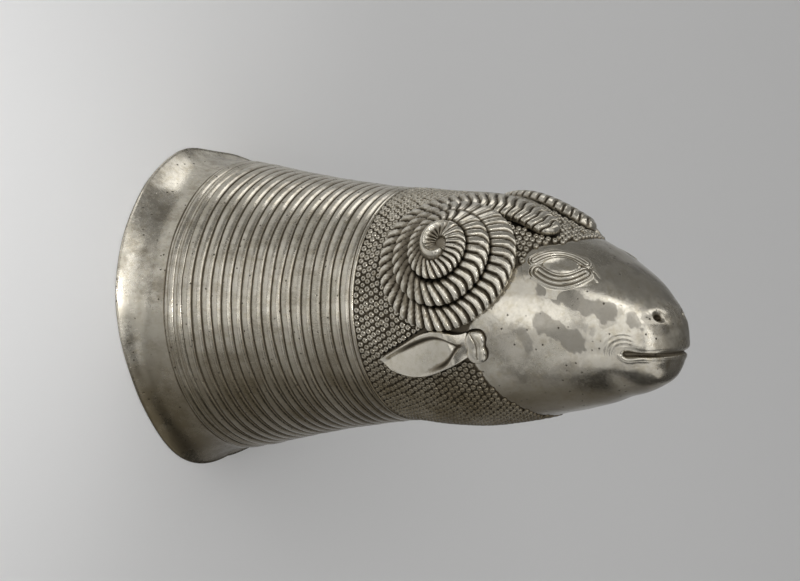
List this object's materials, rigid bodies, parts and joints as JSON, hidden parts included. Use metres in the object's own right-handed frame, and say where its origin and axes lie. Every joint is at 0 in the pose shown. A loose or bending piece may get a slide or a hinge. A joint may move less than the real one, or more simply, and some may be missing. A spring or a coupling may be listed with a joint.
{
  "type": "rhyton drinking cup",
  "caption": "Silver drinking cup with a flared lip and ribbed tapering body ending in a ram's head with coiled horns, standing mouth down on its rim.",
  "frame": {"origin": "centre of the rim plane, on the surface that the cup stands on", "axes": "+Z along the cup's axis to the muzzle, -X to the crown of the head, +X to the chin, -Y to the ram's right side"},
  "size_m": [0.11, 0.11, 0.173],
  "materials": {
    "silver_sheet": "hammered silver sheet, worn bright with brown tarnish in the recesses",
    "silver_cast": "chased silver, bright on the ridges with brown tarnish in the grooves",
    "solder": "dull silver solder"
  },
  "bodies": {
    "root": {"lip_band": "silver_sheet", "lip_ring": "silver_sheet", "lip_solder": "solder", "ribbed_wall": "silver_sheet", "neck_ring": "silver_sheet", "neck_solder": "solder", "head_shell": "silver_sheet", "horn_right": "silver_cast", "horn_left": "silver_cast", "ear_right": "silver_cast", "ear_left": "silver_cast", "ear_knob_right": "silver_cast", "ear_knob_left": "silver_cast", "eye_right": "silver_cast", "eye_left": "silver_cast"}
  },
  "joints": []
}
